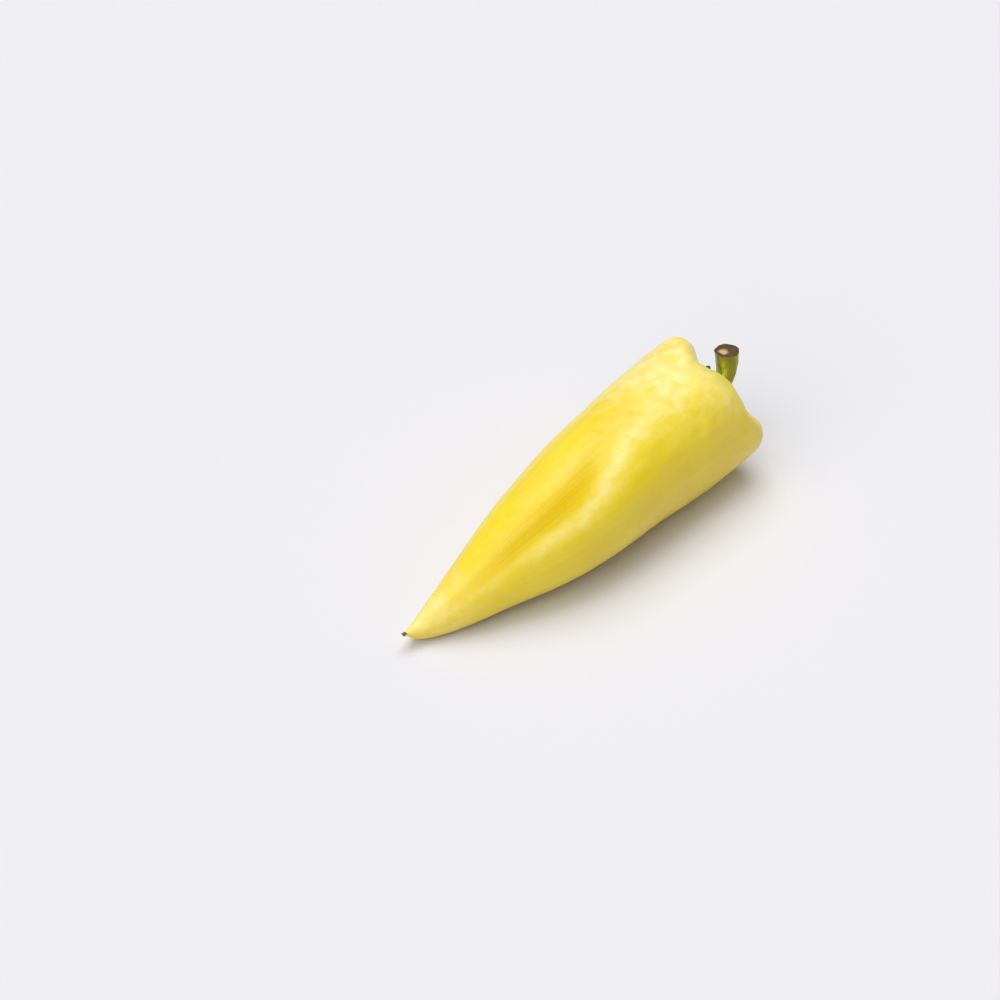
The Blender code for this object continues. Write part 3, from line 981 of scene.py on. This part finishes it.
@dataclass
class Stem:
    """The ribbed stalk, straight out of the crown and then bent upwards, cut off level.

    foot and flare are how many times the radius it is thick at the hub and at the cut.  It starts
    at X = start, goes out by run and up by rise, and its cut faces along facing.  scar is where the
    pith's spot lies on the cut, as two shares of its radius.  Its ribs stand out by rib_depth and
    the lip of the cut by lip, as shares of the radius; dish is how far the cut face sinks inside
    its edge, burr how high the ring round it stands, and sag how far its middle sinks further.
    """

    fruit: Fruit
    radius: float = 0.0036
    foot: float = 1.22
    flare: float = 1.20
    start: float = -0.0031
    run: float = 0.0128
    rise: float = 0.0100
    facing: tuple = (0.10, 0.0, 0.995)
    scar: tuple = (-0.18, 0.22)
    # The side that the stem's painted light falls on, in degrees.
    sunny_side: float = 140.0
    ribs: int = 5
    rib_depth: float = 0.055
    lip: float = 0.05
    dish: float = 0.30 * MM
    burr: float = 0.10 * MM
    sag: float = 0.35 * MM
    around: int = 200
    rings: int = 150
    cut_rings: int = 40
    bark: Unevenness = Unevenness(0.05 * MM, 0.0012, 0.005, stretch=2.0, seed=31)
    torn: Unevenness = Unevenness(0.09 * MM, 0.0008, 0.003, seed=32)

    def path(self, where: np.ndarray) -> np.ndarray:
        """The stem's middle: out along X, then in a bend upwards and to +Y.

        Its control points are shares of the run, and of the rise from there.

        Args:
            where: Places along it, 0 at the hub and 1 past the cut.

        Returns:
            A point for each place.
        """
        run = np.array([(0, 0, 0), (0.35, 0, 0), (0.70, 0.02, 0.05)]) * self.run
        bend = self.run * np.array([1.012, 0.06, 0.18])
        rise = np.array([(0, 0, 0), (0.20, 0.10, 0.38), (0.28, 0.20, 0.88)]) * self.rise
        return spline(np.vstack([run, bend + rise]) + (self.start, 0, 0), where)

    def surface(self) -> Rings:
        """The stalk's side from hub to cut, and then the cut face to its middle.

        A ring is radius x (1 + ribs x cos(count x angle)) in the plane across the path.  Towards
        the end the rings lean until the last one lies in the plane of the cut.

        Returns:
            Its rings, with masks for ridges, dryness, the cut and its pith.
        """
        facing = np.array(self.facing) / np.linalg.norm(self.facing)
        seat = self.path(np.array(1.0)) - facing * 0.35 * self.radius
        table = np.linspace(0, 1, 600)
        beyond = (self.path(table) - seat) @ facing
        last = table[np.argmax(beyond > 0)] if (beyond > 0).any() else 1.0
        where = np.linspace(0, last, self.rings)[:, None]
        angle = np.linspace(0, TURN, self.around, endpoint=False)[None, :]
        middle = self.path(where[:, 0])
        ahead = np.gradient(middle, axis=0)
        ahead /= np.linalg.norm(ahead, axis=1, keepdims=True)
        across = np.cross([0, 1, 0], ahead)
        across /= np.linalg.norm(across, axis=1, keepdims=True)
        other = np.cross(ahead, across)
        along_stem = where / last
        swell = 1 + (self.foot - 1) * (1 - smooth(along_stem, 0, 0.35))
        swell = swell + (self.flare - 1) * smooth(along_stem, 0.6, 1)
        lip = self.lip * np.exp(-((along_stem - 0.97) / 0.025) ** 2)
        phase = self.ribs * (angle + 0.35 * along_stem)
        wave = np.cos(phase) + 0.35 * np.cos(2 * phase + 0.8)
        ribbed = 1 + self.rib_depth * wave * (1 - 0.5 * smooth(along_stem, 0.85, 1))
        size = self.radius * (swell + lip) * ribbed
        ring = np.cos(angle)[..., None] * across[:, None] + np.sin(angle)[..., None] * other[:, None]
        side = middle[:, None] + ring * size[..., None]
        side = side + ring * self.bark.at(side)[..., None]
        lean = ((side - seat) @ facing) / (ahead @ facing)[:, None]
        weight = smooth(along_stem, 0.45, 1.0)
        kept = (weight * lean).mean(axis=1, keepdims=True) * (1 - smooth(along_stem, 0.9, 1))
        side = side - ahead[:, None] * (lean * weight - kept)[..., None]
        share = np.linspace(1, 0, self.cut_rings + 1)[1:, None]
        edge = side[-1]
        centre = edge.mean(axis=0)
        face = centre + (edge - centre)[None] * share[..., None]
        dish = self.dish * (smooth(share, 0.70, 0.92) - 1) + self.burr * np.exp(-((share - 0.9) / 0.06) ** 2)
        rough = self.torn.at(face) * smooth(1 - share, 0.0, 0.12)
        face = face + facing * (dish + rough - self.sag * (1 - share) ** 2)[..., None]
        points = np.concatenate([middle[:1, None] + 0 * side[:1], side, face])
        points[-1] = points[-1].mean(axis=0)
        return Rings(self.fruit.lie.laid(points), self._masks(along_stem, wave, share),
                     np.concatenate([[0], 0.8 * along_stem[:, 0], 0.8 + 0.2 * (1 - share[:, 0])]))

    def _masks(self, along_stem: np.ndarray, wave: np.ndarray, share: np.ndarray) -> dict[str, np.ndarray]:
        """Masks for the side, and for the cut face behind it.

        The ridges are brighter on the lit side, as half of 1 + cos(angle from it), and darker on the far
        side, which is painted light and shade, and the pith fades with its distance from the scar.

        Args:
            along_stem: Share of the stem's length, one for each ring of its side.
            wave: The ribs' wave on the side.
            share: Share of the cut's radius, one for each ring of the face.

        Returns:
            A mask for ridges, dryness, the cut and the pith.
        """
        face = share + np.zeros((1, self.around))
        turn = np.linspace(0, TURN, self.around, endpoint=False)[None, :]
        # Painted light and shade: the ridges are brighter towards the lit side and darker on the far side.
        sunny = 0.5 + 0.5 * np.cos(turn - np.radians(self.sunny_side))
        ridge = np.clip((0.55 + 0.45 * wave) * (0.15 + 0.95 * sunny), 0, 1)
        side = {"ridge": ridge, "dry": 0.55 * smooth(along_stem, 0.84, 1.0) + 0 * ridge,
                "cut": smooth(along_stem, 0.975, 1.0) + 0 * ridge, "pith": 0 * ridge}
        aside = np.hypot(face * np.cos(turn) - self.scar[0], face * np.sin(turn) - self.scar[1])
        ends = {"ridge": 0 * face, "dry": 0 * face, "cut": 0 * face + 1,
                "pith": 1 - smooth(aside, 0.10, 0.58)}
        return {name: np.concatenate([side[name][:1], side[name], ends[name]]) for name in side}

    def build(self, finish: GreenFinish, effects: Effects) -> bpy.types.Object:
        """Makes the stem and dresses it."""
        return piece(self.surface().mesh("pepper_stem"), finish.make(effects), "stem")


@dataclass
class StyleTip:
    """The dried end of the style on the blossom tip: a short, shrivelled, slightly bent stub.

    sunk is how far its foot is inside the tip, bend is how far its end bends aside, and flutes and
    flute_depth are the number and the depth of its furrows, the latter as a share of its radius.
    """

    fruit: Fruit
    radius: float = 0.00062
    length: float = 0.00145
    sunk: float = 0.35 * MM
    bend: float = 0.25 * MM
    flutes: int = 7
    flute_depth: float = 0.10
    around: int = 48
    rings: int = 40
    shrivel: Unevenness = Unevenness(0.09 * MM, 0.0006, 0.0018, stretch=1.6, seed=41)

    def surface(self) -> Rings:
        """A stub whose radius falls from its foot to its blunt end, in line with the tip.

        Returns:
            Its rings, with the masks that its finish reads.
        """
        angle = np.linspace(0, TURN, self.around, endpoint=False)[None, :]
        apex = self.fruit.skin(np.array(1.0), np.array(0.0))
        ring = self.fruit.skin(np.array([[0.965]]), angle)[0]
        ahead = apex - ring.mean(axis=0)
        ahead /= np.linalg.norm(ahead)
        across = np.cross(ahead, [0, 0, 1])
        across /= np.linalg.norm(across)
        other = np.cross(ahead, across)
        share = np.linspace(0, 1, self.rings + 1)[:, None]
        size = self.radius * (1.15 - 0.55 * smooth(share, 0.0, 0.7)) * np.sqrt(np.clip(1 - share ** 6, 0, 1))
        size[0] = 0
        flutes = 1 + self.flute_depth * np.cos(self.flutes * angle + 3 * share)
        spread = np.cos(angle)[..., None] * across + np.sin(angle)[..., None] * other
        middle = apex + ahead * (self.length * share - self.sunk)[..., None]
        middle = middle + other * (self.bend * share ** 2)[..., None]
        points = middle + spread * (size * flutes)[..., None]
        points = points + spread * (self.shrivel.at(points) * (size > 0))[..., None]
        points[[0, -1]] = points[[0, -1]].mean(axis=1, keepdims=True)
        flat = np.broadcast_to(share, (self.rings + 1, self.around))
        masks = {"ridge": np.clip(0.5 + 5 * (flutes - 1), 0, 1) + 0 * flat, "dry": 0.4 + 0.6 * flat}
        return Rings(self.fruit.lie.laid(points), masks)

    def build(self, finish: GreenFinish, effects: Effects) -> bpy.types.Object:
        """Makes the style and dresses it."""
        return piece(self.surface().mesh("pepper_style_tip"), finish.make(effects), "style_tip")


# ---- The studio --------------------------------------------------------------------------------


@dataclass
class Studio:
    """A pale floor, two soft and far lights, an even sky, and the camera.

    key hangs almost overhead, and fill stands on the camera's left.  Each has its strength, its way
    (the direction from the pepper to it) and its spread (how wide it looks from there).  sky is how
    strongly the sky lights things, and backdrop how bright it looks where the floor ends.  The
    camera stands at its azimuth and elevation, at its distance from the point aim.
    """

    azimuth: float = -46.72
    elevation: float = 36.0
    distance: float = 0.8293
    aim: tuple = (-0.0131, 0.0273, 0.010)
    lens: float = 85.0
    sensor: float = 36.0
    floor: tuple = linear(223, 222, 226)
    reach: float = 3.0
    below: float = 0.05 * MM
    sky: float = 0.19
    backdrop: float = 0.86
    key: float = 1.92
    key_way: tuple = (0.24, 0.226, 0.944)
    key_spread: float = 50.0
    fill: float = 1.80
    fill_way: tuple = (-0.697, -0.149, 0.702)
    fill_spread: float = 65.0

    def towards(self) -> Vector:
        """The direction from the pepper towards the camera."""
        turn, rise = np.radians(self.azimuth), np.radians(self.elevation)
        return Vector((np.sin(turn) * np.cos(rise), -np.cos(turn) * np.cos(rise), np.sin(rise)))

    def lamp(self, name: str, way: tuple, strength: float, spread: float) -> None:
        """Hangs one soft, far source.

        Args:
            name: Its name.
            way: The direction from the pepper to it.
            strength: Its strength.
            spread: How wide it looks from the pepper, in degrees.
        """
        light = bpy.data.lights.new(name, "SUN")
        light.energy = strength
        light.angle = np.radians(spread)
        lamp = bpy.data.objects.new(name, light)
        lamp.rotation_mode = "QUATERNION"
        lamp.rotation_quaternion = Vector(way).to_track_quat("Z", "Y")
        bpy.context.scene.collection.objects.link(lamp)

    def lay_floor(self) -> None:
        """Lays a square, matt floor just below the pepper."""
        corners = np.array([(-1, -1, 0), (1, -1, 0), (1, 1, 0), (-1, 1, 0)]) * self.reach - [0, 0, self.below]
        mesh = bpy.data.meshes.new("floor")
        mesh.from_pydata(corners.tolist(), [], [(0, 1, 2, 3)])
        material, _, shader = Finish("pale_floor", roughness=0.9).start()
        shader.inputs["Base Color"].default_value = self.floor
        mesh.materials.append(material)
        ground = bpy.data.objects.new("floor", mesh)
        bpy.context.scene.collection.objects.link(ground)

    def light_sky(self) -> None:
        """Sets a white sky that lights things less than it looks bright to the camera."""
        world = bpy.data.worlds.new("sky")
        world.use_nodes = True
        wiring = Wiring(world.node_tree)
        seen = wiring.add("LightPath").outputs["Is Camera Ray"]
        strength = wiring.add("MapRange", {"Value": seen, "To Min": self.sky, "To Max": self.backdrop})
        background = world.node_tree.nodes["Background"]
        background.inputs["Color"].default_value = (1, 1, 1, 1)
        wiring.feed(background, {"Strength": strength.outputs["Result"]})
        bpy.context.scene.world = world

    def place_camera(self) -> None:
        """Places the camera at its direction and distance from its aim, and looks back along it."""
        scene, back = bpy.context.scene, self.towards()
        camera = bpy.data.cameras.new("camera")
        camera.lens = self.lens
        camera.sensor_width = self.sensor
        eye = bpy.data.objects.new("camera", camera)
        eye.location = Vector(self.aim) + back * self.distance
        eye.rotation_mode = "QUATERNION"
        eye.rotation_quaternion = back.to_track_quat("Z", "Y")
        scene.collection.objects.link(eye)
        scene.camera = eye
        scene.view_settings.view_transform = "Standard"

    def build(self) -> None:
        """Lays the floor, sets the sky, hangs the lights and places the camera."""
        self.lay_floor()
        self.light_sky()
        self.lamp("key", self.key_way, self.key, self.key_spread)
        self.lamp("fill", self.fill_way, self.fill, self.fill_spread)
        self.place_camera()


def main() -> None:
    """Builds and dresses the pepper, sets up the studio and notes the sizes."""
    logging.basicConfig(level=logging.INFO, format="%(name)s: %(message)s")
    effects = Effects(mottle_group(), fibre_group())
    fruit = Fruit()
    fruit.build(SkinFinish("waxy_yellow_skin", roughness=0.34, coat=0.20, coat_roughness=0.24,
                           subsurface=0.25, depth=0.004, specular=0.22), effects)
    Calyx(fruit).build(GreenFinish("leathery_green_calyx", roughness=0.50, coat=0.05, around=90.0,
                                   lengthwise=8.0), effects)
    # The stem's dark colour is also its painted shade on the far side.
    Stem(fruit).build(GreenFinish("ribbed_green_stem", roughness=0.42, coat=0.12, coat_roughness=0.2,
                                  subsurface=0.08, depth=0.002, light=linear(240, 240, 14),
                                  dark=linear(128, 118, 2), pith=linear(226, 186, 128),
                                  rim=linear(86, 60, 8)), effects)
    StyleTip(fruit).build(GreenFinish("dried_style", roughness=0.7, light=linear(150, 150, 100),
                                      dark=linear(84, 90, 54), dry=linear(104, 104, 66)), effects)
    Studio().build()
    bpy.context.view_layer.update()


if __name__ == "__main__":
    main()
